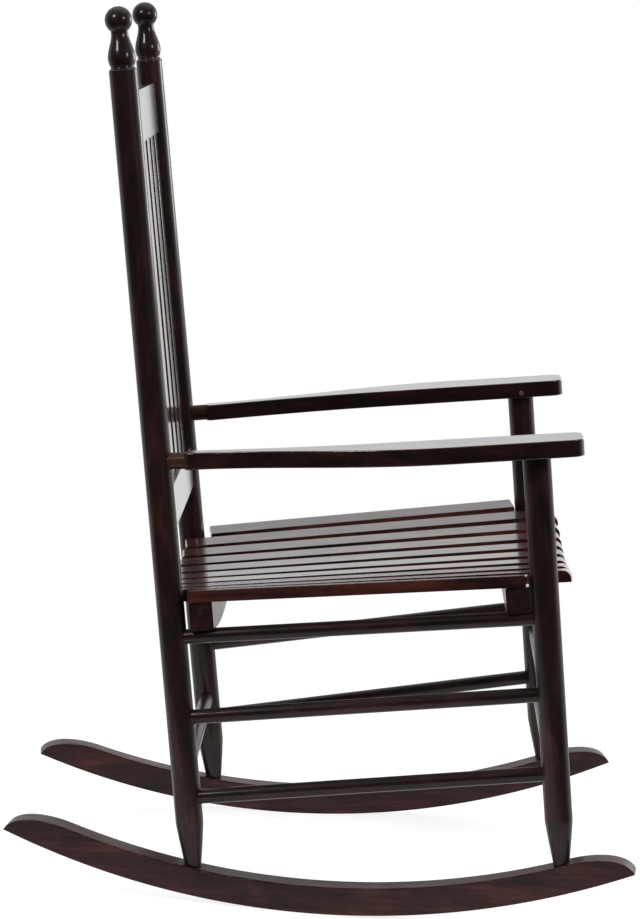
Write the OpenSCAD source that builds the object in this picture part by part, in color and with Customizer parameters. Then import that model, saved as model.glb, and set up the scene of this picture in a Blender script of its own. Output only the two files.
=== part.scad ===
// Slatted wooden rocking chair, in millimetres.
// The sitter faces -Y, +X is the sitter's left and +Z is up. The origin is on the floor,
// under the middle of the rockers' length.

/* [Rockers] */
// Radius of the running edge
rocker_radius = 1071; // [1000:1:1150]
// Height of the rocker's section
rocker_h = 36.5; // [34:0.5:40]
// Width of the rocker's section
rocker_w = 34; // [30:0.5:40]
// Side distance of the rocker's centre line, above the lowest point of the arc
rocker_x = 258.5; // [250:0.5:265]
// Angle by which each rocker toes out towards the front
rocker_splay = 6.4; // [6:0.1:7]
// Length behind the lowest point of the arc
tail_len = 448; // [420:1:480]
// Length ahead of the lowest point of the arc
toe_len = 376; // [365:1:400]
// Length over which each end is rounded down
cap_len = 80; // [60:1:95]
// Tilt of the whole chair about the middle of the arcs, which brings its balance over the contact
balance_tilt = -3.2; // [-4:0.05:0]

/* [Posts] */
// Diameter of all four posts
post_d = 36; // [34:0.5:38]
// Diameter of the feet and of the upper tenons of the front posts
foot_d = 22; // [20:0.5:24]
// Length of the taper above each foot
taper_len = 54; // [40:1:60]
// Side distance of the rear posts' axes at floor level
rear_x = 237.3; // [235:0.1:240]
// Distance of the rear posts' axes behind the lowest point of the arc, at floor level
rear_y = 193; // [190:0.5:196]
// Backward rake of the rear posts
rear_rake = 4.7; // [4.5:0.1:5]
// Inward lean of the rear posts
rear_tuck = 1.15; // [1:0.05:1.3]
// Height of the shaft's rim, along the post
rim_at = 1090; // [1080:1:1100]
// Diameter of the ball on the finial
ball_d = 35; // [33:0.5:37]
// Side distance of the front posts' axes
front_x = 291; // [289:0.5:293]
// Distance of the front posts' axes ahead of the lowest point of the arc, at floor level
front_y = 284.5; // [282:0.5:287]
// Backward rake of the front posts
front_rake = 4; // [3.8:0.1:4.2]

/* [Rungs] */
// Diameter of the rungs and stretchers
rung_d = 19.4; // [18:0.2:21]
// Depth of a rung's socket
socket_depth = 15; // [12:0.5:16]
// Height of the front stretchers at the posts, lower and upper
front_stretcher_z = [170, 263]; // [150:1:280]
// Height of the rear stretcher at the posts
rear_stretcher_z = 174; // [170:1:180]

/* [Seat] */
// Number of slats
seat_count = 10; // [10]
// Width of a slat
slat_w = 37.5; // [34:0.5:40]
// Thickness of a slat
slat_t = 15.4; // [14:0.2:16]
// Height of the seat's outer edge above the lowest point of the arc
seat_z = 436.3; // [434:0.1:438]
// Half of the seat's width above the lowest point of the arc
seat_half = 273; // [270:0.5:276]
// Fall of the seat towards the back, per millimetre
seat_fall = 0.0735; // [0.07:0.0005:0.08]
// Narrowing of half the seat's width towards the back, per millimetre
seat_narrow = 0.12; // [0.11:0.005:0.13]
// Depth of the dish across the seat
dish = 21; // [15:0.5:24]
// Front edge of the long slats
seat_front_y = -292; // [-296:1:-288]
// Rear edge of the long slats
seat_rear_y = 236; // [230:1:240]
// Radius of the waterfall edge at the front
waterfall_r = 11; // [8:0.5:13]
// Depth of each cross rail, front to back
rail_d = 30; // [26:0.5:32]

/* [Back] */
// Thickness of the crest rail
crest_t = 13; // [11:0.5:15]
// Height of the crest rail
crest_h = 69; // [65:1:72]
// Height of the crest rail's lower edge, along the posts
crest_at = 989; // [980:1:1000]
// Thickness of the lower back rail
lower_t = 21; // [18:0.5:22]
// Height of the lower back rail
lower_h = 55; // [50:1:60]
// Height of the lower back rail's lower edge, along the posts
lower_at = 487; // [480:1:495]
// Number of upright slats
back_count = 6; // [6]
// Width of an upright slat
back_w = 38; // [34:1:40]
// Thickness of an upright slat
back_t = 8; // [7:0.5:9]

/* [Armrests] */
// Thickness of an armrest
arm_t = 22; // [20:0.5:24]
// Height of an armrest's top above the lowest point of the arc
arm_z = 612.4; // [610:0.2:618]
// Slope of an armrest, down towards the back
arm_slope = 3.7; // [3:0.1:4]
// Shoulder where the armrest's rear tenon starts
arm_rear_y = 207; // [200:1:212]
// Front edge of an armrest
arm_front_y = -301; // [-305:1:-295]
// Side distance of the inner edge at the rear, where its curve ends, and at the front
arm_inner = [217, 255, 261]; // [210:1:265]
// Where the inner edge's curve ends
arm_waist_y = -60; // [-90:1:-30]
// Side distance of the outer edge at the rear, where it is fullest, and at the front
arm_outer = [245, 331, 331]; // [240:1:335]
// Where the outer edge is fullest
arm_full_y = -140; // [-170:1:-110]
// Radius of the front corners
arm_corner_r = 16; // [10:1:20]

/* [Hidden] */
$fn = 96;

RIGHT = -1;
LEFT = 1;
clear = 0.05;
post_r = post_d / 2;
foot_r = foot_d / 2;
rung_r = rung_d / 2;
tenon_depth = 24;
// Middle of the rockers' length, once the chair is tilted
function tip_y(length) = length * cos(rocker_splay) * cos(balance_tilt)
    + sqrt(pow(rocker_radius, 2) - pow(length, 2)) * sin(balance_tilt);
middle_y = (tip_y(tail_len) + tip_y(-toe_len)) / 2;
dark_wood = "#2f2021";
rocker_wood = "#3c2626";
slat_wood = "#4c2826";
steel = "#8a8780";

// Puts the chair on the floor with its middle over the origin
module place()
    translate([0, -middle_y, rocker_radius]) rotate([balance_tilt, 0, 0])
    translate([0, 0, -rocker_radius]) children();

// Places along the post axes, at a distance measured from floor level
function rear_at(side, s) = [
    side * (rear_x - s * sin(rear_tuck)),
    rear_y + s * cos(rear_tuck) * sin(rear_rake),
    s * cos(rear_tuck) * cos(rear_rake)
];
function front_at(side, s) = [side * front_x, -front_y + s * sin(front_rake), s * cos(front_rake)];
function rear_s(z) = z / (cos(rear_tuck) * cos(rear_rake));
function front_s(z) = z / cos(front_rake);

// Turns +Z to run from one point to another
module along(from, to) {
    run = to - from;
    translate(from) rotate([0, acos(run[2] / norm(run)), atan2(run[1], run[0])]) children();
}

module on_rear_post(side)
    translate([side * rear_x, rear_y, 0]) rotate([-rear_rake, 0, 0]) rotate([0, -side * rear_tuck, 0])
    children();

module on_front_post(side)
    translate([side * front_x, -front_y, 0]) rotate([-front_rake, 0, 0]) children();

// The plane that holds both rear posts, with Z up along it
module on_back()
    translate([0, rear_y, 0]) rotate([-rear_rake, 0, 0]) children();

/* ---- rungs and stretchers ---- */

// Heights of the side rungs at the rear and front posts: lower, middle, upper
side_rung_z = [[145.4, 194.9], [250.9, 298.2], [356.6, 397.9]];

function side_rung_ends(side, level) = [
    rear_at(side, rear_s(side_rung_z[level][0])),
    front_at(side, front_s(side_rung_z[level][1]))
];
function front_stretcher_ends(level) = [
    front_at(RIGHT, front_s(front_stretcher_z[level])),
    front_at(LEFT, front_s(front_stretcher_z[level]))
];
rear_stretcher_ends = [rear_at(RIGHT, rear_s(rear_stretcher_z)), rear_at(LEFT, rear_s(rear_stretcher_z))];

// A rung between two post axes, stopping short of each axis
module rung(ends, r = rung_r, gap = 0) {
    reach = post_r - socket_depth - gap;
    length = norm(ends[1] - ends[0]);
    along(ends[0], ends[1]) translate([0, 0, reach]) cylinder(h = length - 2 * reach, r = r);
}

module side_rung(side, level)
    color(dark_wood) place() difference() {
        rung(side_rung_ends(side, level));
        if (level == 2) for (rail = [0, 1]) rail_screw(side, rail, clear);
    }

module stretcher(ends)
    color(dark_wood) place() rung(ends);

// Sockets that the rungs leave in the posts
module rung_sockets(side) {
    for (level = [0:2]) rung(side_rung_ends(side, level), rung_r + clear, 0.5);
    for (level = [0, 1]) rung(front_stretcher_ends(level), rung_r + clear, 0.5);
    rung(rear_stretcher_ends, rung_r + clear, 0.5);
}

/* ---- rockers ---- */

// Height of the rocker's top edge, at a distance along it from the lowest point
function rocker_top(run) = rocker_radius - sqrt(pow(rocker_radius - rocker_h, 2) - pow(run, 2));

// The rounded end: a quarter ellipse bent along the arc, from just inside the top edge to the tip
function cap_points(length, way) = let(tip = asin(length / rocker_radius)) concat(
    [for (t = [-4, each [6:6:84]]) let(
        a = way * (tip - (1 - sin(t)) * cap_len / rocker_radius * 180 / PI),
        r = rocker_radius - rocker_h * cos(t) - (t < 0 ? 1 : 0)
    ) [r * sin(a), rocker_radius - r * cos(a)]],
    [[(rocker_radius + 2) * sin(way * tip), rocker_radius - (rocker_radius + 2) * cos(tip)]]
);

module rocker_outline()
    intersection() {
        translate([0, rocker_radius]) difference() {
            circle(rocker_radius, $fn = 360);
            circle(rocker_radius - rocker_h, $fn = 360);
        }
        polygon(concat(
            [[0, rocker_radius]],
            cap_points(toe_len, -1),
            [[-toe_len, -60], [tail_len, -60]],
            [for (i = [len(cap_points(tail_len, 1)) - 1:-1:0]) cap_points(tail_len, 1)[i]]
        ));
    }

module rocker(side)
    color(rocker_wood) place() difference() {
        translate([side * rocker_x, 0, 0]) rotate([0, 0, side * rocker_splay]) rotate([90, 0, 90])
            linear_extrude(height = rocker_w, center = true) rocker_outline();
        on_rear_post(side) foot_socket(rear_foot_at);
        on_front_post(side) foot_socket(front_foot_at);
        for (end = [0, 1]) rocker_screw(side, end, clear);
    }

// Where the rocker's top edge crosses each post
rear_foot_at = rocker_top(rear_y / cos(rocker_splay)) + 3;
front_foot_at = rocker_top(front_y / cos(rocker_splay)) + 3;

module foot_socket(at)
    translate([0, 0, at - tenon_depth - 0.5]) cylinder(h = tenon_depth + 20, r = foot_r + clear);

/* ---- posts ---- */

neck_r = 11;
bulb_r = 17.8;

// Turned outline above the rim: groove, vase-shaped bulb, neck and ball
function finial_points() = concat(
    [[post_r - 1.2, rim_at], [15, rim_at + 2.2], [15, rim_at + 4]],
    [for (t = [0:15:90]) [15.8 + (bulb_r - 15.8) * sin(t), rim_at + 4.6 + 9.4 * t / 90]],
    [for (t = [12:12:180]) [neck_r + (bulb_r - neck_r) * (1 + cos(t)) / 2, rim_at + 14 + 32 * t / 180]],
    [for (t = [140:-5:0]) [ball_d / 2 * sin(t), rim_at + 62 + ball_d / 2 * cos(t)]]
);

module foot_and_shaft(foot_at, top) {
    translate([0, 0, foot_at - tenon_depth]) cylinder(h = tenon_depth, r = foot_r);
    translate([0, 0, foot_at]) rotate_extrude() polygon([
        [0, 0], [foot_r, 0], [post_r - 0.6, taper_len - 4], [post_r, taper_len], [post_r, top - foot_at],
        [0, top - foot_at]
    ]);
}

module rear_post(side)
    color(dark_wood) place() difference() {
        on_rear_post(side) union() {
            foot_and_shaft(rear_foot_at, rim_at - 2);
            rotate_extrude() polygon(concat([[0, rim_at - 2], [post_r, rim_at - 2]], finial_points()));
        }
        rung_sockets(side);
        on_back() {
            rail_tenon(side, crest_at, crest_h, crest_tenon_t, clear);
            rail_tenon(side, lower_at, lower_h, lower_tenon_t, clear);
        }
        arm_tenon(side, foot_r + clear, 0.5);
        rocker_screw(side, 0, clear);
        for (rail = [0, 1]) back_pin(side, rail, clear);
    }

module front_post(side)
    color(dark_wood) place() difference() {
        on_front_post(side) union() {
            foot_and_shaft(front_foot_at, arm_underside_at);
            translate([0, 0, arm_underside_at]) cylinder(h = arm_tenon_h, r = foot_r);
        }
        rung_sockets(side);
        rocker_screw(side, 1, clear);
        arm_pin(side, clear);
    }

/* ---- armrests ---- */

arm_tenon_h = 15;
// Distance of the front posts' tops ahead of the lowest point of the arc
arm_top_y = front_y - arm_z * tan(front_rake);
// Height at which the front post meets the armrest's underside, along the post
arm_underside_at = front_s(arm_z - arm_t + arm_top_y * tan(arm_slope)) - 0.4;

// Side distance of the outer edge: it swells from the shoulder, then runs straight to the front
function arm_outer_x(y) = y > arm_full_y
    ? arm_outer[0] + (arm_outer[1] - arm_outer[0])
        * (1 - cos(180 * pow((arm_rear_y - y) / (arm_rear_y - arm_full_y), 0.9))) / 2
    : arm_outer[1] + (arm_outer[2] - arm_outer[1]) * (arm_full_y - y) / (arm_full_y - arm_front_y);

// Side distance of the inner edge: a curve in from the shoulder, then straight to the front
function arm_inner_x(y) = y > arm_waist_y
    ? arm_inner[0] + (arm_inner[1] - arm_inner[0])
        * sin(90 * (arm_rear_y - y) / (arm_rear_y - arm_waist_y))
    : arm_inner[1] + (arm_inner[2] - arm_inner[1]) * (arm_waist_y - y) / (arm_waist_y - arm_front_y);

// A rounded front corner, turned round its own centre
function corner_points(centre, from) = [
    for (t = [from:-10:from - 90]) centre + arm_corner_r * [cos(t), sin(t)]
];

module arm_outline()
    polygon(concat(
        [[arm_inner[0] + 4, arm_rear_y], [arm_outer[0] - 4, arm_rear_y]],
        [[arm_outer_x(arm_rear_y - 4), arm_rear_y - 4]],
        [for (i = [1:20]) let(y = arm_rear_y - (arm_rear_y - arm_full_y) * i / 20) [arm_outer_x(y), y]],
        corner_points([arm_outer[2] - arm_corner_r, arm_front_y + arm_corner_r], 0),
        corner_points([arm_inner[2] + arm_corner_r, arm_front_y + arm_corner_r], -90),
        [for (i = [12:-1:1]) let(y = arm_rear_y - (arm_rear_y - arm_waist_y) * i / 12)
            [arm_inner_x(y), y]],
        [[arm_inner_x(arm_rear_y - 4), arm_rear_y - 4]]
    ));

// The plane of the armrest's top, with Z out of it
module on_arm_top()
    translate([0, 0, arm_z]) rotate([-arm_slope, 0, 0]) children();

// The axis of the armrest's rear tenon, from its shoulder to the middle of the rear post
arm_axis_z = arm_z - arm_t / 2 - arm_rear_y * tan(arm_slope);
function arm_shoulder(side) = [side * (arm_inner[0] + arm_outer[0]) / 2, arm_rear_y, arm_axis_z];
function arm_post_point(side) = rear_at(side, rear_s(arm_axis_z - 2));

// Round tenon at the rear of the armrest, which enters the rear post
module arm_tenon(side, r, gap) {
    run = norm(arm_post_point(side) - arm_shoulder(side));
    along(arm_shoulder(side), arm_post_point(side)) translate([0, 0, -6])
        cylinder(h = run + 6 - 2 + gap, r = r);
}

module armrest(side)
    color(dark_wood) place() difference() {
        union() {
            on_arm_top() translate([0, 0, -arm_t]) linear_extrude(height = arm_t)
                scale([side, 1]) arm_outline();
            arm_tenon(side, foot_r - 0.2, 0);
        }
        on_front_post(side) translate([0, 0, arm_underside_at - 2])
            cylinder(h = arm_tenon_h + 2.5, r = foot_r + clear);
        arm_pin(side, clear);
    }

/* ---- seat ---- */

// Middle lines of the front and rear cross rails
rail_y = [-219, 186];
rail_h = [33, 36.5];

function half_at(y) = seat_half - seat_narrow * y;
function edge_z(y) = seat_z - seat_fall * y;
// Middle of a slat's top where it crosses a rail
function slat_point(i, y) = let(
    half = half_at(y),
    x = -half + slat_w / 2 + i * (2 * half - slat_w) / (seat_count - 1)
) [x, y, edge_z(y) - dish * (1 - pow(x / half, 2))];
function slat_roll(i) = let(x = slat_point(i, -16)[0]) atan(2 * dish * x / pow(half_at(-16), 2));

// The frame of one slat: Y along it to the rear, Z out of its top, origin over the front rail
module on_slat(i) {
    front = slat_point(i, rail_y[0]);
    rear = slat_point(i, rail_y[1]);
    run = rear - front;
    translate(front) rotate([asin(run[2] / norm(run)), 0, atan2(run[1], run[0]) - 90])
        rotate([0, -slat_roll(i), 0]) children();
}

// The outer slats stop short of the posts, the others run past them
function slat_front(i) = i == 0 || i == seat_count - 1 ? -232 : seat_front_y;
function slat_rear(i) = i == 0 || i == seat_count - 1 ? 205 : seat_rear_y;

module slat_side_view(front, rear, front_r, rear_r)
    union() {
        translate([front, -slat_t]) square([rear - front, slat_t - front_r]);
        translate([front + front_r, -slat_t]) square([rear - front - front_r - rear_r, slat_t]);
        translate([front + front_r, -front_r]) circle(front_r);
        translate([rear - rear_r, -rear_r]) circle(rear_r);
        translate([rear - front_r, -slat_t]) square([front_r, slat_t - rear_r]);
    }

module slat_end_view()
    union() {
        translate([-slat_w / 2, -slat_t]) square([slat_w, slat_t - 3]);
        translate([-slat_w / 2 + 3, -slat_t]) square([slat_w - 6, slat_t]);
        for (s = [-1, 1]) translate([s * (slat_w / 2 - 3), -3]) circle(3);
    }

module seat_slat(i)
    color(slat_wood) place() difference() {
        on_slat(i) intersection() {
            rotate([90, 0, 90]) linear_extrude(height = slat_w + 2, center = true)
                slat_side_view(slat_front(i) - rail_y[0], slat_rear(i) - rail_y[0],
                    abs(i - 4.5) > 4 ? 3 : waterfall_r, 3);
            rotate([-90, 0, 0]) translate([0, 0, -200]) linear_extrude(height = 900)
                mirror([0, 1]) slat_end_view();
        }
        for (rail = [0, 1]) seat_screw(i, rail, clear);
    }

// A cross rail, dished with the seat and saddled over the upper side rungs
module seat_rail(rail) {
    y = rail_y[rail];
    half = half_at(y);
    curve = (half * half + dish * dish) / (2 * dish);
    color(dark_wood) place() difference() {
        translate([0, y, edge_z(y) - slat_t - 0.45]) rotate([-atan(seat_fall), 0, 0])
            rotate([90, 0, 0]) linear_extrude(height = rail_d, center = true) intersection() {
                translate([0, curve - dish]) difference() {
                    circle(curve + rail_h[rail], $fn = 360);
                    circle(curve, $fn = 360);
                }
                translate([-half + 2, -120]) square([2 * half - 4, 130]);
            }
        for (side = [RIGHT, LEFT]) rung(side_rung_ends(side, 2), rung_r + clear);
        for (i = [0:seat_count - 1]) seat_screw(i, rail, clear);
        for (side = [RIGHT, LEFT]) rail_screw(side, rail, clear);
    }
}

/* ---- back ---- */

crest_tenon_t = 8;
lower_tenon_t = 10;
rail_tenon_len = 13;

// Half the distance between the rear posts' axes, at a height along the back
function back_half(s) = rear_x - s * tan(rear_tuck);

// Square tenon on a rail's end, in the frame of the back
module rail_tenon(side, at, h, t, gap)
    translate([side * (back_half(at + h / 2) - post_r - 2 + (rail_tenon_len + gap) / 2), 0, at + h / 2])
        cube([rail_tenon_len + gap, t + 2 * gap, h - 18 + 2 * gap], center = true);

module back_rail(at, h, t, tenon_t)
    place() difference() {
        on_back() union() {
            difference() {
                translate([0, 0, at + h / 2])
                    cube([2 * back_half(at + h / 2) - 26, t, h], center = true);
                for (side = [RIGHT, LEFT])
                    translate([side * rear_x, 0, 0]) rotate([0, -side * rear_tuck, 0])
                        translate([0, 0, at - 40]) cylinder(h = h + 80, r = post_r + clear);
            }
            for (side = [RIGHT, LEFT]) rail_tenon(side, at, h, tenon_t, 0);
        }
        on_back() for (i = [0:back_count - 1]) back_slat_blank(i, clear);
    }

module crest_rail()
    color(dark_wood) difference() {
        back_rail(crest_at, crest_h, crest_t, crest_tenon_t);
        place() for (side = [RIGHT, LEFT]) back_pin(side, 1, clear);
    }

module lower_back_rail()
    color(dark_wood) difference() {
        back_rail(lower_at, lower_h, lower_t, lower_tenon_t);
        place() for (side = [RIGHT, LEFT]) back_pin(side, 0, clear);
    }

// An upright slat with its ends let into both rails; the row narrows towards the top
module back_slat_blank(i, gap) {
    low = lower_at + lower_h - 10;
    high = crest_at + 10;
    pitch = 2 * (back_half((low + high) / 2) - post_r) / back_count;
    x = (i - (back_count - 1) / 2) * pitch;
    lean = atan(x / back_half(750) * tan(rear_tuck));
    translate([x, 0, (low + high) / 2]) rotate([0, -lean, 0])
        cube([back_w + 2 * gap, back_t + 2 * gap, high - low + 2 * gap], center = true);
}

module back_slat(i)
    color(slat_wood) place() on_back() back_slat_blank(i, 0);

/* ---- fasteners ---- */

// A countersunk wood screw, head down at the origin, with its shank up +Z
module screw(length, head_r, gap) {
    translate([0, 0, -gap]) cylinder(h = 2 + 2 * gap, r = head_r + gap);
    translate([0, 0, 2 - gap]) cylinder(h = length - 2 + 2 * gap, r = head_r / 2 + gap);
    if (gap > 0) translate([0, 0, -12]) cylinder(h = 12, r = head_r + gap);
}

// From under a cross rail up into a slat
module seat_screw(i, rail, gap) {
    length = rail_h[rail] + 6;
    translate(slat_point(i, rail_y[rail])) rotate([-atan(seat_fall), 0, 0]) rotate([0, -slat_roll(i), 0])
        translate([0, 0, -slat_t - rail_h[rail] + 1.5]) screw(length, 3.5, gap);
}

// From under an upper side rung up into a cross rail
module rail_screw(side, rail, gap) {
    ends = side_rung_ends(side, 2);
    y = rail_y[rail];
    t = (y - ends[0][1]) / (ends[1][1] - ends[0][1]);
    translate(ends[0] + t * (ends[1] - ends[0])) rotate([-atan(seat_fall), 0, 0])
        translate([0, 0, -rung_r + 1]) screw(34, 3.5, gap);
}

// From under a rocker up into a post's foot
module rocker_screw(side, end, gap) {
    if (end == 0) on_rear_post(side)
        translate([0, 0, rear_foot_at - 35.5]) screw(30, 4, gap);
    if (end == 1) on_front_post(side)
        translate([0, 0, front_foot_at - 36.5]) screw(30, 4, gap);
}

// From an armrest's inner side into the front post's tenon
module arm_pin(side, gap) {
    on_arm_top() translate([side * (arm_inner_x(-arm_top_y) - 0.4), -arm_top_y, 7 - arm_t])
        rotate([0, side * 90, 0]) cylinder(h = 30 + gap, r = 3.4 + gap);
}

// From behind a rear post into a back rail's tenon
module back_pin(side, rail, gap) {
    at = rail == 0 ? lower_at + lower_h / 2 : crest_at + crest_h / 2;
    on_back() translate([side * (back_half(at) - 12), 6, at]) rotate([-90, 0, 0]) {
        translate([0, 0, -14]) cylinder(h = 22, r = 2.5 + gap);
    }
}

module seat_screws()
    color(steel) place() for (i = [0:seat_count - 1], rail = [0, 1]) seat_screw(i, rail, 0);
module rail_screws()
    color(steel) place() for (side = [RIGHT, LEFT], rail = [0, 1]) rail_screw(side, rail, 0);
module rocker_screws()
    color(steel) place() for (side = [RIGHT, LEFT], end = [0, 1]) rocker_screw(side, end, 0);
module arm_pins()
    color(steel) place() for (side = [RIGHT, LEFT]) arm_pin(side, 0);
module back_pins()
    color(slat_wood) place() for (side = [RIGHT, LEFT], rail = [0, 1]) back_pin(side, rail, 0);

rocker(RIGHT);  // rocker_right
rocker(LEFT);  // rocker_left
rear_post(RIGHT);  // rear_post_right
rear_post(LEFT);  // rear_post_left
front_post(RIGHT);  // front_post_right
front_post(LEFT);  // front_post_left
armrest(RIGHT);  // armrest_right
armrest(LEFT);  // armrest_left
side_rung(RIGHT, 0);  // lower_rung_right
side_rung(LEFT, 0);  // lower_rung_left
side_rung(RIGHT, 1);  // middle_rung_right
side_rung(LEFT, 1);  // middle_rung_left
side_rung(RIGHT, 2);  // upper_rung_right
side_rung(LEFT, 2);  // upper_rung_left
stretcher(front_stretcher_ends(0));  // lower_front_stretcher
stretcher(front_stretcher_ends(1));  // upper_front_stretcher
stretcher(rear_stretcher_ends);  // rear_stretcher
seat_rail(0);  // front_seat_rail
seat_rail(1);  // rear_seat_rail
for (i = [0:seat_count - 1])
    seat_slat(i);
crest_rail();
lower_back_rail();
for (i = [0:back_count - 1])
    back_slat(i);
seat_screws();
rail_screws();
rocker_screws();
arm_pins();
back_pins();
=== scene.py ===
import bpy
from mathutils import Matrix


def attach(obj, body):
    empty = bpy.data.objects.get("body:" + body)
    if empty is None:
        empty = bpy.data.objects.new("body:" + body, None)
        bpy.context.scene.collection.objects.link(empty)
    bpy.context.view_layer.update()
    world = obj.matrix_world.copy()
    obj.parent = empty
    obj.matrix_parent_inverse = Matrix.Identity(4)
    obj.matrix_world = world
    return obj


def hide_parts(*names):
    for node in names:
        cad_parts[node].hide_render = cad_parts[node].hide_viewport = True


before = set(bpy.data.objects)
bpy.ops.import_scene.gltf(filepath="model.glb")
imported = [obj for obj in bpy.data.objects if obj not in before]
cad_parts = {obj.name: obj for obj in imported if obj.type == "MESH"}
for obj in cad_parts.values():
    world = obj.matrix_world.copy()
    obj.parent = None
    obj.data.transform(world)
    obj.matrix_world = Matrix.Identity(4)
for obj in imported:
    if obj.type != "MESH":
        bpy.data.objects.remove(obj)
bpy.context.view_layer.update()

from math import asin, atan, atan2, cos, pi, radians, sin, sqrt, tan

import bmesh
import bpy
from mathutils import Matrix, Vector

# Lengths are in millimetres in the chair's own upright frame, before it tips back to its balance:
# the origin is on the floor under the lowest point of the arcs. ON_FLOOR turns them into metres.

# ---- Rockers ----
# Two arcs sawn from solid boards, stained mahogany and lacquered. They toe out towards the front.
# Each end is rounded down to its tip, and the posts' feet stand in bores.
ARC_R = 1071.0
TIP_BACK = radians(-3.2)
ROCKER_W, ROCKER_H = 34.0, 36.5
ROCKER_X = 258.5
SPLAY = radians(6.4)
TAIL, TOE = 448.0, 376.0
END_ROUNDING = 80.0


def arc_middle():
    """Middle of the rockers' length once the chair has tipped back, measured from the arcs' middle."""
    def tip(length):
        return (length * cos(SPLAY) * cos(TIP_BACK)
                + sqrt(ARC_R ** 2 - length ** 2) * sin(TIP_BACK))
    return (tip(TAIL) + tip(-TOE)) / 2


def turned(*axes_and_degrees):
    """A turn about one axis after another, the last one first, as in the frame's own drawing."""
    matrix = Matrix.Identity(4)
    for axis, degrees in axes_and_degrees:
        matrix = matrix @ Matrix.Rotation(radians(degrees), 4, axis)
    return matrix


def shifted(x, y, z):
    return Matrix.Translation((x, y, z))


ON_FLOOR = (Matrix.Scale(0.001, 4) @ shifted(0, -arc_middle(), ARC_R)
            @ Matrix.Rotation(TIP_BACK, 4, "X") @ shifted(0, 0, -ARC_R))


def linear(colour):
    """An sRGB hex colour as linear RGBA."""
    channels = [int(colour[i:i + 2], 16) / 255 for i in (1, 3, 5)]
    return [c / 12.92 if c <= 0.04045 else ((c + 0.055) / 1.055) ** 2.4 for c in channels] + [1.0]


def add_node(tree, kind, links=None, stops=None, **settings):
    """Adds a node, sets it up, and links or sets its inputs."""
    node = tree.nodes.new(kind)
    for name, value in settings.items():
        setattr(node, name, value)
    for socket, value in (links or {}).items():
        if isinstance(value, bpy.types.NodeSocket):
            tree.links.new(value, node.inputs[socket])
        else:
            node.inputs[socket].default_value = value
    if stops:
        elements = node.color_ramp.elements
        while len(elements) < len(stops):
            elements.new(0.5)
        for element, (position, colour) in zip(elements, stops):
            element.position = position
            element.color = linear(colour) if isinstance(colour, str) else (colour,) * 3 + (1,)
    return node


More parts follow.
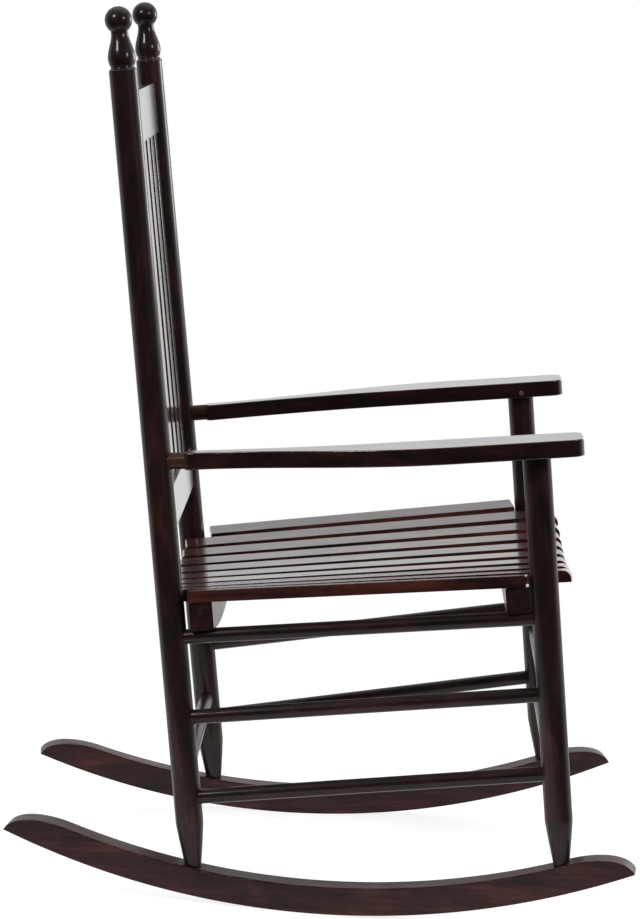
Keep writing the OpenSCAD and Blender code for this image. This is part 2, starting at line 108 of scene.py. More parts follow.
def stained_wood(name, deep, warm, glow, gloss, coat):
    """Close-grained hardwood, wiped with a dark stain and sprayed with lacquer.

    The stain takes in clouds, so the wood glows red where it is thin and is nearly black where it is
    thick. The lacquer is glassy but follows the fibres and has a faint orange peel."""
    material = bpy.data.materials.new(name)
    material.use_nodes = True
    tree = material.node_tree
    shader = tree.nodes["Principled BSDF"]
    grain = add_node(tree, "ShaderNodeAttribute", attribute_name="grain").outputs["Vector"]

    def noise(across, along, detail, roughness=0.5, distortion=0.0):
        """Noise whose cells are that many millimetres across and along the grain."""
        scale = (1000 / along, 1000 / across, 1000 / across)
        at = add_node(tree, "ShaderNodeMapping", {"Vector": grain, "Scale": scale})
        return add_node(tree, "ShaderNodeTexNoise", {
            "Vector": at.outputs["Vector"], "Scale": 1.0, "Detail": detail,
            "Roughness": roughness, "Distortion": distortion}).outputs["Fac"]

    # Clouds of stain, about 26 mm across and 110 mm along the grain
    clouds = add_node(tree, "ShaderNodeValToRGB", {"Fac": noise(26, 110, 3.0, 0.6, 0.8)},
                      stops=[(0.34, deep), (0.55, warm), (0.74, glow)])
    # Growth lines, 5 mm apart and drawn out along the grain
    growth = add_node(tree, "ShaderNodeMapRange", {
        "Value": noise(5, 190, 2.0, 0.55, 0.4), "From Min": 0.32, "From Max": 0.68,
        "To Min": 0.72, "To Max": 1.22})
    lined = add_node(tree, "ShaderNodeMix", {
        "Factor": 1.0, 6: clouds.outputs["Color"], 7: growth.outputs["Result"]},
        data_type="RGBA", blend_type="MULTIPLY")
    # Pores: real ones are 0.2 mm wide, drawn 0.9 mm wide and 18 mm long so that they show
    pores = add_node(tree, "ShaderNodeMapRange", {
        "Value": noise(0.9, 18, 1.0), "From Min": 0.60, "From Max": 0.70,
        "To Min": 0.0, "To Max": 0.55})
    pored = add_node(tree, "ShaderNodeMix", {
        "Factor": pores.outputs["Result"], 6: lined.outputs[2], 7: linear("#0d0606")},
        data_type="RGBA")
    # The stain is rubbed thin here and there along eased arrises, and the lighter colour there is
    # partly wear and partly a painted highlight that stands in for the arrises' thin reflected lines
    arris_wear_and_sheen = add_node(tree, "ShaderNodeMapRange", {
        "Value": noise(3, 24, 3.0, 0.7), "From Min": 0.50, "From Max": 0.66,
        "To Min": 0.0, "To Max": 0.6})
    arris = add_node(tree, "ShaderNodeMath", {
        0: add_node(tree, "ShaderNodeAttribute", attribute_name="arris").outputs["Fac"],
        1: arris_wear_and_sheen.outputs["Result"]}, operation="MULTIPLY")
    # Wear and painted highlight: a lighter brown is mixed onto the arris strips where the noise allows
    worn_and_sheened = add_node(tree, "ShaderNodeMix", {
        "Factor": arris.outputs["Value"], 6: pored.outputs[2], 7: linear("#6e4634")},
        data_type="RGBA")
    tree.links.new(worn_and_sheened.outputs[2], shader.inputs["Base Color"])

    # Handled, dusty and buffed patches, 40 mm wide
    patches = add_node(tree, "ShaderNodeMapRange", {
        "Value": noise(40, 60, 4.0, 0.6), "From Min": 0.3, "From Max": 0.7,
        "To Min": gloss, "To Max": gloss + 0.16})
    tree.links.new(patches.outputs["Result"], shader.inputs["Roughness"])
    # Fibres stand 0.03 mm proud, and the lacquer's orange peel has 3 mm cells
    fibres = add_node(tree, "ShaderNodeBump", {
        "Strength": 0.5, "Distance": 0.00006, "Height": noise(1.1, 40, 2.0)})
    peel = add_node(tree, "ShaderNodeBump", {
        "Strength": 0.35, "Distance": 0.00004, "Height": noise(3, 3.4, 1.0)})
    tree.links.new(fibres.outputs["Normal"], peel.inputs["Normal"])
    tree.links.new(peel.outputs["Normal"], shader.inputs["Normal"])
    tree.links.new(peel.outputs["Normal"], shader.inputs["Coat Normal"])
    shader.inputs["IOR"].default_value = 1.5
    shader.inputs["Specular IOR Level"].default_value = 0.12
    shader.inputs["Coat Weight"].default_value = coat
    shader.inputs["Coat Roughness"].default_value = 0.13
    shader.inputs["Coat IOR"].default_value = 1.5
    return material


def eased(bm, edges, radius, segments=3):
    """Rounds these edges over and marks the new strips as arrises."""
    arris = bm.faces.layers.float.get("arris") or bm.faces.layers.float.new("arris")
    made = bmesh.ops.bevel(bm, geom=edges, offset=radius, offset_type="OFFSET", affect="EDGES",
                           segments=segments, profile=0.5, material=-1, clamp_overlap=True)
    for face in made["faces"]:
        face[arris] = 1.0


def bar(width, length, height, y=0.0, z=0.0):
    """A squared bar: X across, Y along from y, Z up from z."""
    bm = bmesh.new()
    bmesh.ops.create_cube(bm, size=1.0, matrix=(
        shifted(0, y + length / 2, z + height / 2) @ Matrix.Diagonal((width, length, height, 1))))
    return bm


def edges_along(bm, axis, test=lambda middle: True):
    """Edges that run along an axis, 0 for X, 1 for Y and 2 for Z, and whose middle passes a test."""
    found = []
    for edge in bm.edges:
        run = edge.verts[1].co - edge.verts[0].co
        if abs(run[axis]) > 0.99 * run.length and test((edge.verts[0].co + edge.verts[1].co) / 2):
            found.append(edge)
    return found


def cut_across(bm, axis, stations):
    """Cuts a bar across at each station, so that it can be bent."""
    normal = Vector([1.0 if i == axis else 0.0 for i in range(3)])
    for station in stations:
        bmesh.ops.bisect_plane(bm, geom=bm.verts[:] + bm.edges[:] + bm.faces[:], dist=1e-5,
                               plane_co=normal * station, plane_no=normal)


piece_count = 0


def finish_piece(name, bm, place, nodes, materials, along="Y"):
    """Stores each point's place in its own board, X along the grain, puts the piece on the chair,
    and makes it an object that stands for its CAD nodes."""
    global piece_count
    piece_count += 1
    bmesh.ops.recalc_face_normals(bm, faces=bm.faces[:])
    grain = bm.verts.layers.float_vector.new("grain")
    order = {"X": (0, 1, 2), "Y": (1, 0, 2), "Z": (2, 0, 1)}[along]
    # Every piece comes from another part of the board
    offset = Vector((0.371, 0.137, 0.229)) * piece_count
    for vert in bm.verts:
        vert[grain] = Vector([vert.co[i] / 1000 for i in order]) + offset
    if not bm.faces.layers.float.get("arris"):
        bm.faces.layers.float.new("arris")
    bmesh.ops.transform(bm, matrix=ON_FLOOR @ place, verts=bm.verts[:])
    mesh = bpy.data.meshes.new(name)
    bm.to_mesh(mesh)
    bm.free()
    for material in materials:
        mesh.materials.append(material)
    mesh.shade_smooth()
    mesh.set_sharp_from_angle(angle=radians(38))
    piece = bpy.data.objects.new(name, mesh)
    bpy.context.scene.collection.objects.link(piece)
    # Flat faces keep their own normals, so only the eased arrises look round
    piece.modifiers.new("flat faces stay flat", "WEIGHTED_NORMAL").keep_sharp = True
    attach(piece, "root")
    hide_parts(*nodes)
    return piece


mahogany = stained_wood("mahogany stained beech", "#1d0e0d", "#351918", "#4d2722", 0.44, 0.22)

SIDES = {"right": -1, "left": 1}
for side, sign in SIDES.items():
    tail_arc, toe_arc = ARC_R * asin(TAIL / ARC_R), ARC_R * asin(TOE / ARC_R)
    bm = bar(ROCKER_W, tail_arc + toe_arc, ROCKER_H, y=-toe_arc)
    eased(bm, edges_along(bm, 1, lambda at: at.z > 1), 2.0, 4)
    eased(bm, edges_along(bm, 1, lambda at: at.z < 1), 0.7, 2)
    stations = [-toe_arc + END_ROUNDING + i * (tail_arc + toe_arc - 2 * END_ROUNDING) / 52
                for i in range(53)]
    for step in range(1, 22):
        inset = END_ROUNDING * (1 - sin(radians(90 * step / 22)))
        stations += [tail_arc - inset, -toe_arc + inset]
    cut_across(bm, 1, sorted(stations))
    for vert in bm.verts:
        to_tip = min(tail_arc - vert.co.y, vert.co.y + toe_arc)
        depth = 1 - min(max(to_tip, 0.0) / END_ROUNDING, 1.0)
        height = max(sqrt(1 - depth ** 2), 0.03)
        angle, radius = vert.co.y / ARC_R, ARC_R - vert.co.z * height
        vert.co = (vert.co.x, radius * sin(angle), ARC_R - radius * cos(angle))
    finish_piece("rocker_board_" + side, bm,
                 shifted(sign * ROCKER_X, 0, 0) @ Matrix.Rotation(sign * SPLAY, 4, "Z"),
                 ["rocker_" + side], [mahogany])

# ---- Posts ----
# Four turned posts of the same dark-stained wood. Each tapers to a foot that stands in its rocker.
# The rear pair ends in a groove, a vase and a ball; the front pair runs up into the armrests.
POST_R, FOOT_R = 18.0, 11.0
TAPER, FOOT_DEPTH = 54.0, 24.0
REAR_X, REAR_Y, REAR_RAKE, REAR_TUCK = 237.3, 193.0, 4.7, 1.15
FRONT_X, FRONT_Y, FRONT_RAKE = 291.0, 284.5, 4.0
RIM, BALL_R, NECK_R, VASE_R, GROOVE_R = 1090.0, 17.5, 11.0, 17.8, 15.0
ARM_Z, ARM_T, ARM_SLOPE = 612.4, 22.0, 3.7


def rocker_top(run):
    return ARC_R - sqrt((ARC_R - ROCKER_H) ** 2 - run ** 2)


def on_rear_post(sign):
    return (shifted(sign * REAR_X, REAR_Y, 0)
            @ turned(("X", -REAR_RAKE), ("Y", -sign * REAR_TUCK)))


def on_front_post(sign):
    return shifted(sign * FRONT_X, -FRONT_Y, 0) @ turned(("X", -FRONT_RAKE))


def spun(outline, steps=64):
    """A turning from its outline: radius and height, from the bottom to the top."""
    bm = bmesh.new()
    verts = [bm.verts.new((radius, 0, height)) for radius, height in outline]
    edges = [bm.edges.new(pair) for pair in zip(verts, verts[1:])]
    bmesh.ops.spin(bm, geom=verts + edges, cent=(0, 0, 0), axis=(0, 0, 1), angle=2 * pi,
                   steps=steps, use_merge=True)
    bmesh.ops.remove_doubles(bm, verts=bm.verts[:], dist=0.001)
    bmesh.ops.recalc_face_normals(bm, faces=bm.faces[:])
    return bm


def foot_outline(foot_at):
    return [(0, foot_at - FOOT_DEPTH), (FOOT_R - 0.8, foot_at - FOOT_DEPTH),
            (FOOT_R, foot_at - FOOT_DEPTH + 0.8), (FOOT_R, foot_at),
            (FOOT_R + 2.0, foot_at + 14), (FOOT_R + 4.6, foot_at + 33),
            (POST_R - 0.9, foot_at + TAPER - 8), (POST_R - 0.25, foot_at + TAPER - 3),
            (POST_R, foot_at + TAPER + 2)]


espresso = stained_wood("espresso stained beech", "#140a0a", "#261413", "#402020", 0.40, 0.32)

rear_foot_at = rocker_top(REAR_Y / cos(SPLAY)) + 3
front_foot_at = rocker_top(FRONT_Y / cos(SPLAY)) + 3
arm_top_y = FRONT_Y - ARM_Z * tan(radians(FRONT_RAKE))
arm_underside_at = ((ARM_Z - ARM_T + arm_top_y * tan(radians(ARM_SLOPE)))
                    / cos(radians(FRONT_RAKE)) - 0.4)

finial = [(POST_R, RIM - 1.4), (POST_R - 0.4, RIM - 0.5), (POST_R - 1.2, RIM),
          (GROOVE_R + 0.4, RIM + 1.8), (GROOVE_R, RIM + 2.4), (GROOVE_R, RIM + 4.0),
          (15.6, RIM + 4.5)]
finial += [(15.8 + (VASE_R - 15.8) * sin(radians(t)), RIM + 4.6 + 9.4 * t / 90)
           for t in range(10, 91, 10)]
finial += [(NECK_R + (VASE_R - NECK_R) * (1 + cos(radians(t))) / 2, RIM + 14 + 32 * t / 180)
           for t in range(12, 181, 12)]
finial += [(BALL_R * sin(radians(t)), RIM + 62 + BALL_R * cos(radians(t)))
           for t in range(140, -1, -5)] + [(0, RIM + 62 + BALL_R)]

for side, sign in SIDES.items():
    bm = spun(foot_outline(rear_foot_at) + [(POST_R, 560)] + finial, 72)
    finish_piece("turned_rear_post_" + side, bm, on_rear_post(sign), ["rear_post_" + side],
                 [espresso], along="Z")
    top = arm_underside_at
    bm = spun(foot_outline(front_foot_at) + [
        (POST_R, top - 1.0), (POST_R - 1.0, top), (FOOT_R, top), (FOOT_R, top + 14.5),
        (FOOT_R - 0.5, top + 15), (0, top + 15)], 72)
    finish_piece("turned_front_post_" + side, bm, on_front_post(sign), ["front_post_" + side],
                 [espresso], along="Z")

# ---- Rungs and stretchers ----
# Plain dowels of the same wood, three between the posts on each side, two across the front and one
# across the back, glued into blind sockets.
RUNG_R, SOCKET = 9.7, 15.0
SIDE_RUNG_Z = {"lower": (145.4, 194.9), "middle": (250.9, 298.2), "upper": (356.6, 397.9)}
FRONT_STRETCHER_Z = {"lower": 170.0, "upper": 263.0}
REAR_STRETCHER_Z = 174.0


def rear_at(sign, z):
    """Where a rear post's axis is at a height."""
    along = z / (cos(radians(REAR_TUCK)) * cos(radians(REAR_RAKE)))
    return on_rear_post(sign) @ Vector((0, 0, along))


def front_at(sign, z):
    return on_front_post(sign) @ Vector((0, 0, z / cos(radians(FRONT_RAKE))))


def facing(start, end):
    """Turns +Z to run from one point to another."""
    run = end - start
    return Matrix.Translation(start) @ run.to_track_quat("Z", "Y").to_matrix().to_4x4()


def dowel(name, node, start, end):
    reach = POST_R - SOCKET
    length = (end - start).length - 2 * reach
    # The ends are chamfered to enter the socket, and the middle is a hair fuller
    bm = spun([(0, 0), (RUNG_R - 1.2, 0), (RUNG_R - 0.1, 1.4), (RUNG_R - 0.1, 16),
               (RUNG_R, 60), (RUNG_R, length / 2), (RUNG_R, length - 60), (RUNG_R - 0.1, length - 16),
               (RUNG_R - 0.1, length - 1.4), (RUNG_R - 1.2, length), (0, length)], 48)
    finish_piece(name, bm, facing(start, end) @ shifted(0, 0, reach), [node],
                 [espresso], along="Z")


for side, sign in SIDES.items():
    for level, (rear_z, front_z) in SIDE_RUNG_Z.items():
        dowel(f"{level}_side_dowel_{side}", f"{level}_rung_{side}",
              rear_at(sign, rear_z), front_at(sign, front_z))
for level, z in FRONT_STRETCHER_Z.items():
    dowel(f"{level}_front_dowel", f"{level}_front_stretcher", front_at(-1, z), front_at(1, z))
dowel("rear_dowel", "rear_stretcher", rear_at(-1, REAR_STRETCHER_Z), rear_at(1, REAR_STRETCHER_Z))

# ---- Seat rails ----
# Two sawn cross rails, hollowed on top for the dished seat and notched over the upper side rungs.
SEAT_Z, SEAT_FALL, SEAT_HALF, SEAT_NARROW, DISH = 436.3, 0.0735, 273.0, 0.12, 21.0
SLAT_T, SLAT_W, SLATS = 15.4, 37.5, 10
RAIL_DEPTH = 30.0
RAILS = {"front": (-219.0, 33.0), "rear": (186.0, 36.5)}


def half_at(y):
    return SEAT_HALF - SEAT_NARROW * y


def edge_z(y):
    return SEAT_Z - SEAT_FALL * y


for rail, (rail_y, rail_h) in RAILS.items():
    half = half_at(rail_y)
    curve = (half * half + DISH * DISH) / (2 * DISH)
    bm = bar(2 * half - 4, RAIL_DEPTH, rail_h, y=-RAIL_DEPTH / 2, z=-rail_h)
    eased(bm, edges_along(bm, 0), 2.0, 3)
    eased(bm, [e for e in edges_along(bm, 1) + edges_along(bm, 2)
               if abs(e.verts[0].co.x) > half - 3 and abs(e.verts[1].co.x) > half - 3], 1.0, 2)
    cut_across(bm, 0, [half * (i / 20 - 1) for i in range(1, 40)])
    for vert in bm.verts:
        vert.co.z = curve - DISH - sqrt((curve - vert.co.z) ** 2 - vert.co.x ** 2)
    finish_piece(rail + "_cross_rail", bm,
                 shifted(0, rail_y, edge_z(rail_y) - SLAT_T - 0.45)
                 @ Matrix.Rotation(-atan(SEAT_FALL), 4, "X"),
                 [rail + "_seat_rail"], [espresso], along="X")

# ---- Seat slats ----
# Ten slats screwed down on the rails side by side, spread a little towards the front. Their top
# edges are rounded, and the middle eight have a fuller waterfall nose. The red shows through most.
SEAT_FRONT, SEAT_REAR = -292.0, 236.0
OUTER_FRONT, OUTER_REAR = -232.0, 205.0
NOSE_R = 11.0


def slat_point(i, y):
    """Middle of a slat's top where it crosses a rail."""
    half = half_at(y)
    x = -half + SLAT_W / 2 + i * (2 * half - SLAT_W) / (SLATS - 1)
    return Vector((x, y, edge_z(y) - DISH * (1 - (x / half) ** 2)))


def slat_roll(i):
    return atan(2 * DISH * slat_point(i, -16).x / half_at(-16) ** 2)


def on_slat(i):
    start, end = (slat_point(i, RAILS[rail][0]) for rail in ("front", "rear"))
    run = end - start
    return (Matrix.Translation(start) @ Matrix.Rotation(atan2(run.y, run.x) - pi / 2, 4, "Z")
            @ Matrix.Rotation(asin(run.z / run.length), 4, "X")
            @ Matrix.Rotation(-slat_roll(i), 4, "Y"))


red_slat = stained_wood("red mahogany stained slat", "#1e0f0d", "#3d1d18", "#5a2e23", 0.34, 0.9)

for i in range(SLATS):
    outer = i in (0, SLATS - 1)
    front = (OUTER_FRONT if outer else SEAT_FRONT) - RAILS["front"][0]
    rear = (OUTER_REAR if outer else SEAT_REAR) - RAILS["front"][0]
    nose = 3.0 if outer else NOSE_R
    bm = bar(SLAT_W, rear - front, SLAT_T, y=front, z=-SLAT_T)
    eased(bm, edges_along(bm, 0, lambda at: at.z > -1 and at.y < 0), nose, 8)
    eased(bm, edges_along(bm, 0, lambda at: at.z > -1 and at.y > 0), 3.0, 4)
    # The long edges of the top, and on round the nose
    top_rim = [e for e in bm.edges if abs(e.verts[0].co.x) > SLAT_W / 2 - 0.1
               and abs(e.verts[1].co.x - e.verts[0].co.x) < 0.1
               and min(v.co.z for v in e.verts) > -nose - 0.1
               and any(f.normal.z > 0.05 for f in e.link_faces)]
    eased(bm, top_rim, 2.6, 4)
    eased(bm, [e for e in bm.edges if all(v.co.z < -SLAT_T + 0.01 for v in e.verts)], 0.8, 2)
    finish_piece(f"slat_{i + 1}_of_seat", bm, on_slat(i), [f"seat_slat_{i + 1}"],
                 [red_slat])

# ---- Back ----
# A crest rail and a lower rail tenoned between the rear posts, with six thin upright slats let into
# both. The rails' edges are barely eased, and the row of slats narrows towards the top.
CREST = {"node": "crest_rail", "at": 989.0, "height": 69.0, "thick": 13.0, "edge": 1.2}
LOWER = {"node": "lower_back_rail", "at": 487.0, "height": 55.0, "thick": 21.0, "edge": 1.5}
BACK_SLATS, BACK_W, BACK_T = 6, 38.0, 8.0


def back_half(at):
    return REAR_X - at * tan(radians(REAR_TUCK))


ON_BACK = shifted(0, REAR_Y, 0) @ turned(("X", -REAR_RAKE))
glossy_board = stained_wood("espresso stained board", "#120909", "#231110", "#3a1b18", 0.32, 1.0)

for rail in (CREST, LOWER):
    middle = rail["at"] + rail["height"] / 2
    bm = bar(2 * back_half(middle) - 28, rail["thick"], rail["height"],
             y=-rail["thick"] / 2, z=-rail["height"] / 2)
    eased(bm, edges_along(bm, 0), rail["edge"], 4)
    finish_piece(rail["node"].replace("_", "_board_", 1), bm, ON_BACK @ shifted(0, 0, middle),
                 [rail["node"]], [glossy_board], along="X")

low = LOWER["at"] + LOWER["height"] - 10
high = CREST["at"] + 10
pitch = 2 * (back_half((low + high) / 2) - POST_R) / BACK_SLATS
for i in range(BACK_SLATS):
    x = (i - (BACK_SLATS - 1) / 2) * pitch
    lean = atan(x / back_half(750) * tan(radians(REAR_TUCK)))
    bm = bar(BACK_W, BACK_T, high - low, y=-BACK_T / 2, z=(low - high) / 2)
    eased(bm, edges_along(bm, 2), 2.0, 4)
    finish_piece(f"upright_{i + 1}_of_back", bm,
                 ON_BACK @ shifted(x, 0, (low + high) / 2) @ Matrix.Rotation(-lean, 4, "Y"),
                 [f"back_slat_{i + 1}"], [glossy_board], along="Z")

# ---- Armrests ----
# Flat boards that swell to a broad, round-cornered front over the post. The rear end is turned down
# to a round tenon, where the stain has worn off and the wood shows light brown.
ARM_REAR, ARM_FRONT = 207.0, -301.0
ARM_INNER, ARM_OUTER = (217.0, 255.0, 261.0), (245.0, 331.0)
ARM_WAIST, ARM_FULL, ARM_CORNER = -60.0, -140.0, 16.0
TENON_R, CUT_CORNER, SLAB_EDGE = 10.8, 4.0, 1.5
PEG_R, PEG_LENGTH, PEG_RISE = 3.4, 30.0, 7.0

worn_tenon = stained_wood("worn beech tenon", "#2b1a14", "#4c3226", "#704f3f", 0.6, 0.1)


def outer_x(y):
    swell = min((ARM_REAR - y) / (ARM_REAR - ARM_FULL), 1) ** 0.9
    return ARM_OUTER[0] + (ARM_OUTER[1] - ARM_OUTER[0]) * (1 - cos(pi * swell)) / 2


def inner_x(y):
    if y <= ARM_WAIST:
        return ARM_INNER[1] + (ARM_INNER[2] - ARM_INNER[1]) * (ARM_WAIST - y) / (ARM_WAIST - ARM_FRONT)
    return ARM_INNER[0] + (ARM_INNER[1] - ARM_INNER[0]) * sin(
        pi / 2 * (ARM_REAR - y) / (ARM_REAR - ARM_WAIST))


def corner(x, y, start):
    return [(x + ARM_CORNER * cos(radians(t)), y + ARM_CORNER * sin(radians(t)))
            for t in range(start, start - 91, -10)]


def combined(operation, body, tool):
    """Cuts or joins one bmesh with another and frees the tool."""
    objects = []
    for part in (body, tool):
        mesh = bpy.data.meshes.new("rough")
        part.to_mesh(mesh)
        part.free()
        objects.append(bpy.data.objects.new("rough", mesh))
        bpy.context.scene.collection.objects.link(objects[-1])
    modifier = objects[0].modifiers.new("cut", "BOOLEAN")
    modifier.operation, modifier.solver, modifier.object = operation, "EXACT", objects[1]
    result = bmesh.new()
    result.from_object(objects[0], bpy.context.evaluated_depsgraph_get())
    for rough in objects:
        bpy.data.meshes.remove(rough.data)
    return result


cut_y = ARM_REAR - CUT_CORNER
outline = [(inner_x(cut_y), cut_y), (ARM_INNER[0] + CUT_CORNER, ARM_REAR),
           (ARM_OUTER[0] - CUT_CORNER, ARM_REAR), (outer_x(cut_y), cut_y)]
outline += [(outer_x(y), y) for y in (ARM_REAR - (ARM_REAR - ARM_FULL) * i / 20 for i in range(1, 21))]
outline += corner(ARM_OUTER[1] - ARM_CORNER, ARM_FRONT + ARM_CORNER, 0)
outline += corner(ARM_INNER[2] + ARM_CORNER, ARM_FRONT + ARM_CORNER, -90)
outline += [(inner_x(y), y) for y in (ARM_REAR - (ARM_REAR - ARM_WAIST) * i / 16
                                      for i in range(16, 0, -1))]

for side, sign in SIDES.items():
    on_top = shifted(0, 0, ARM_Z) @ turned(("X", -ARM_SLOPE))
    bm = bmesh.new()
    base = bm.faces.new([bm.verts.new((sign * x, y, -ARM_T)) for x, y in outline])
    raised = bmesh.ops.extrude_face_region(bm, geom=[base])["geom"]
    bmesh.ops.translate(bm, vec=(0, 0, ARM_T),
                        verts=[v for v in raised if isinstance(v, bmesh.types.BMVert)])
    bmesh.ops.recalc_face_normals(bm, faces=bm.faces[:])
    rims = [e for e in bm.edges if abs(e.verts[0].co.z - e.verts[1].co.z) < 0.01]
    eased(bm, rims, SLAB_EDGE, 3)
    bmesh.ops.transform(bm, matrix=on_top, verts=bm.verts[:])
    # The tenon's axis, from its shoulder into the rear post
    axis_z = ARM_Z - ARM_T / 2 - ARM_REAR * tan(radians(ARM_SLOPE))
    shoulder = Vector((sign * (ARM_INNER[0] + ARM_OUTER[0]) / 2, ARM_REAR, axis_z))
    into_post = rear_at(sign, axis_z - 2)
    on_tenon = facing(shoulder, into_post)
    length = (into_post - shoulder).length - 2
    lathe = spun([(0, -700), (400, -700), (400, -30), (26, -15), (TENON_R, 0), (0, 0)], 72)
    bmesh.ops.transform(lathe, matrix=on_tenon, verts=lathe.verts[:])
    bm = combined("INTERSECT", bm, lathe)
    peg = spun([(0, -30), (TENON_R, -30), (TENON_R, length - 0.6), (TENON_R - 0.6, length),
                (0, length)], 48)
    bmesh.ops.transform(peg, matrix=on_tenon, verts=peg.verts[:])
    bm = combined("UNION", bm, peg)
    to_tenon = on_tenon.inverted()
    for face in bm.faces:
        at = to_tenon @ face.calc_center_median()
        if at.z > -14 and (at.xy.length < TENON_R + 0.1 or abs(at.z + at.xy.length - TENON_R) < 0.6):
            face.material_index = 1
    finish_piece("armrest_board_" + side, bm, Matrix.Identity(4), ["armrest_" + side],
                 [glossy_board, worn_tenon])

# ---- Screws and pegs ----
# Zinc-plated countersunk wood screws hold the slats and rails from below and the feet from under the
# rockers. Small wooden pegs lock the armrests and the back's tenons.
zinc = bpy.data.materials.new("zinc plated steel")
zinc.use_nodes = True
tree = zinc.node_tree
shader = tree.nodes["Principled BSDF"]
place = add_node(tree, "ShaderNodeTexCoord").outputs["Object"]
# Plating is mottled in patches of about 1 mm
plating = add_node(tree, "ShaderNodeTexNoise", {"Vector": place, "Scale": 900.0, "Detail": 2.0})
tree.links.new(add_node(tree, "ShaderNodeValToRGB", {"Fac": plating.outputs["Fac"]},
                        stops=[(0.35, "#77756f"), (0.65, "#a3a09a")]).outputs["Color"],
               shader.inputs["Base Color"])
tree.links.new(add_node(tree, "ShaderNodeMapRange", {
    "Value": plating.outputs["Fac"], "To Min": 0.28, "To Max": 0.5}).outputs["Result"],
    shader.inputs["Roughness"])
tree.links.new(add_node(tree, "ShaderNodeBump", {
    "Strength": 0.3, "Distance": 0.00003, "Height": plating.outputs["Fac"]}).outputs["Normal"],
    shader.inputs["Normal"])
shader.inputs["Metallic"].default_value = 1.0


def screw(length, head_r):
    """A countersunk screw with a cross recess, head down at the origin, shank up +Z."""
    bm = spun([(0, 0), (head_r - 0.2, 0), (head_r, 0.2), (head_r, 0.5), (head_r / 2 + 0.3, 1.9),
               (head_r / 2, 2.2), (head_r / 2, length - 3), (0.3, length), (0, length)], 24)
    cross = bar(head_r * 1.1, 0.9, 2.4, y=-0.45, z=-1.2)
    other = cross.copy()
    bmesh.ops.rotate(other, cent=(0, 0, 0), matrix=Matrix.Rotation(pi / 2, 3, "Z"),
                     verts=other.verts[:])
    return combined("DIFFERENCE", combined("DIFFERENCE", bm, cross), other)


def many(pattern, places):
    """Copies one small piece to many places."""
    mesh = bpy.data.meshes.new("pattern")
    pattern.to_mesh(mesh)
    pattern.free()
    bm = bmesh.new()
    for at in places:
        known = set(bm.verts)
        bm.from_mesh(mesh)
        bmesh.ops.transform(bm, matrix=at, verts=[v for v in bm.verts if v not in known])
    bpy.data.meshes.remove(mesh)
    return bm


UNDER_SEAT = Matrix.Rotation(-atan(SEAT_FALL), 4, "X")
slat_screws = bmesh.new()
for rail_y, rail_h in RAILS.values():
    row = many(screw(rail_h + 6, 3.5), [
        Matrix.Translation(slat_point(i, rail_y)) @ UNDER_SEAT
        @ Matrix.Rotation(-slat_roll(i), 4, "Y") @ shifted(0, 0, -SLAT_T - rail_h + 1.5)
        for i in range(SLATS)])
    mesh = bpy.data.meshes.new("row")
    row.to_mesh(mesh)
    row.free()
    slat_screws.from_mesh(mesh)
    bpy.data.meshes.remove(mesh)
finish_piece("slat_screws", slat_screws, Matrix.Identity(4), ["seat_screws"], [zinc])


def under_rung(sign, rail_y):
    start, end = rear_at(sign, SIDE_RUNG_Z["upper"][0]), front_at(sign, SIDE_RUNG_Z["upper"][1])
    share = (rail_y - start.y) / (end.y - start.y)
    return Matrix.Translation(start.lerp(end, share)) @ UNDER_SEAT @ shifted(0, 0, 1 - RUNG_R)


finish_piece("rung_screws", many(screw(34, 3.5), [
    under_rung(sign, y) for sign in SIDES.values() for y, height in RAILS.values()]),
    Matrix.Identity(4), ["rail_screws"], [zinc])
finish_piece("foot_screws", many(screw(30, 4.0), [
    place for sign in SIDES.values() for place in (
        on_rear_post(sign) @ shifted(0, 0, rear_foot_at - 35.5),
        on_front_post(sign) @ shifted(0, 0, front_foot_at - 36.5))]),
    Matrix.Identity(4), ["rocker_screws"], [zinc])

bare_peg = stained_wood("pale beech peg", "#54392e", "#6c4d3e", "#82614f", 0.55, 0.15)


def peg(length, radius):
    """A short dowel with a slightly domed end at the origin, running up +Z."""
    return spun([(0, 0), (radius * 0.6, 0.12), (radius * 0.9, 0.4), (radius, 0.8), (radius, length),
                 (0, length)], 32)


finish_piece("armrest_pegs", many(peg(PEG_LENGTH, PEG_R), [
    shifted(0, 0, ARM_Z) @ turned(("X", -ARM_SLOPE))
    @ shifted(sign * (inner_x(-arm_top_y) - 0.4), -arm_top_y, PEG_RISE - ARM_T)
    @ turned(("Y", sign * 90))
    for sign in SIDES.values()]), Matrix.Identity(4), ["arm_pins"], [bare_peg], along="X")
finish_piece("back_pegs", many(peg(22, 2.5), [
    ON_BACK @ shifted(sign * (back_half(rail["at"] + rail["height"] / 2) - 12), 14,
                      rail["at"] + rail["height"] / 2) @ turned(("X", 90))
    for sign in SIDES.values() for rail in (CREST, LOWER)]),
    Matrix.Identity(4), ["back_pins"], [bare_peg])

# ---- Floor ----
# A pale studio floor that fades out into the white surroundings.
# It glows a little, so that the chair's shadows stay faint.
bm = bmesh.new()
bmesh.ops.create_circle(bm, cap_ends=True, segments=96, radius=1.5)
mesh = bpy.data.meshes.new("studio_floor")
bm.to_mesh(mesh)
bm.free()
floor = bpy.data.objects.new("studio_floor", mesh)
bpy.context.scene.collection.objects.link(floor)
paper = bpy.data.materials.new("pale studio floor")
paper.use_nodes = True
tree = paper.node_tree
shader = tree.nodes["Principled BSDF"]
shader.inputs["Base Color"].default_value = linear("#8c8b89")
shader.inputs["Roughness"].default_value = 0.9
shader.inputs["Emission Color"].default_value = linear("#ffffff")
shader.inputs["Emission Strength"].default_value = 0.85
place = add_node(tree, "ShaderNodeTexCoord").outputs["Object"]
distance = add_node(tree, "ShaderNodeVectorMath", {0: place}, operation="LENGTH")
tree.links.new(add_node(tree, "ShaderNodeMapRange", {
    "Value": distance.outputs["Value"], "From Min": 0.6, "From Max": 1.4,
    "To Min": 1.0, "To Max": 0.0}, interpolation_type="SMOOTHSTEP").outputs["Result"],
    shader.inputs["Alpha"])
mesh.materials.append(paper)

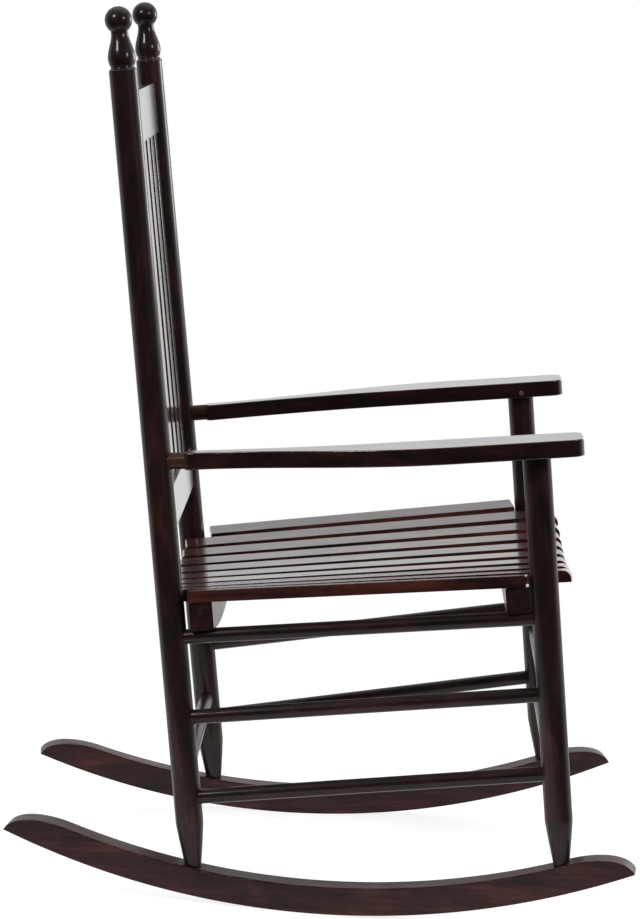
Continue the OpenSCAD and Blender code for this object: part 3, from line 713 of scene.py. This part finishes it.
# ---- Light ----
# White surroundings beyond the chair and a dim room behind the camera, with two soft boxes on the
# camera's side, one past the front of the chair and a large faint one overhead.
world = bpy.data.worlds.new("studio")
bpy.context.scene.world = world
world.use_nodes = True
tree = world.node_tree
background = tree.nodes["Background"]
way = add_node(tree, "ShaderNodeSeparateXYZ", {
    "Vector": add_node(tree, "ShaderNodeTexCoord").outputs["Generated"]})
beyond = add_node(tree, "ShaderNodeMapRange", {
    "Value": way.outputs["X"], "From Min": -0.35, "From Max": 0.45, "To Min": 0.03, "To Max": 1.0},
    interpolation_type="SMOOTHSTEP")
seen = add_node(tree, "ShaderNodeMath", {
    0: add_node(tree, "ShaderNodeLightPath").outputs["Is Camera Ray"],
    1: beyond.outputs["Result"]}, operation="MAXIMUM")
background.inputs["Color"].default_value = (1, 1, 1, 1)
tree.links.new(seen.outputs["Value"], background.inputs["Strength"])

CHAIR_MIDDLE = Vector((0, 0, 0.55))
for name, way, distance, size, power in (
        ("box_behind_left", (-0.605, 0.532, 0.592), 3.2, 0.55, 42),
        ("box_front_right", (-0.617, -0.623, 0.482), 3.2, 0.6, 28),
        ("box_past_front", (0.649, -0.706, 0.282), 3.0, 1.0, 40),
        ("box_overhead", (0.1, 0.0, 1.0), 2.6, 2.6, 16)):
    lamp = bpy.data.lights.new(name, "AREA")
    lamp.shape, lamp.size, lamp.energy = "SQUARE", size, power
    light = bpy.data.objects.new(name, lamp)
    light.location = CHAIR_MIDDLE + Vector(way).normalized() * distance
    light.rotation_euler = Vector(way).to_track_quat("Z", "Y").to_euler()
    bpy.context.scene.collection.objects.link(light)

# ---- Camera ----
# A long lens on the chair's right side, a little above the arms and looking slightly down.
EYE = Vector((-4409.4, -73.0, 1218.8))
YAW, PITCH = 0.0252, 0.1493
look = Vector((cos(PITCH) * cos(YAW), cos(PITCH) * sin(YAW), -sin(PITCH)))
across = look.cross(Vector((0, 0, 1))).normalized()
facing_chair = Matrix((across, across.cross(look), -look)).transposed().to_4x4()
lens = bpy.data.cameras.new("camera")
lens.lens, lens.sensor_width, lens.clip_end = 129.24, 36.0, 50.0
camera = bpy.data.objects.new("camera", lens)
camera.matrix_world = (Matrix.Translation(ON_FLOOR @ EYE)
                       @ Matrix.Rotation(TIP_BACK, 4, "X") @ facing_chair)
bpy.context.scene.collection.objects.link(camera)
bpy.context.scene.camera = camera
bpy.context.scene.view_settings.view_transform = "Standard"
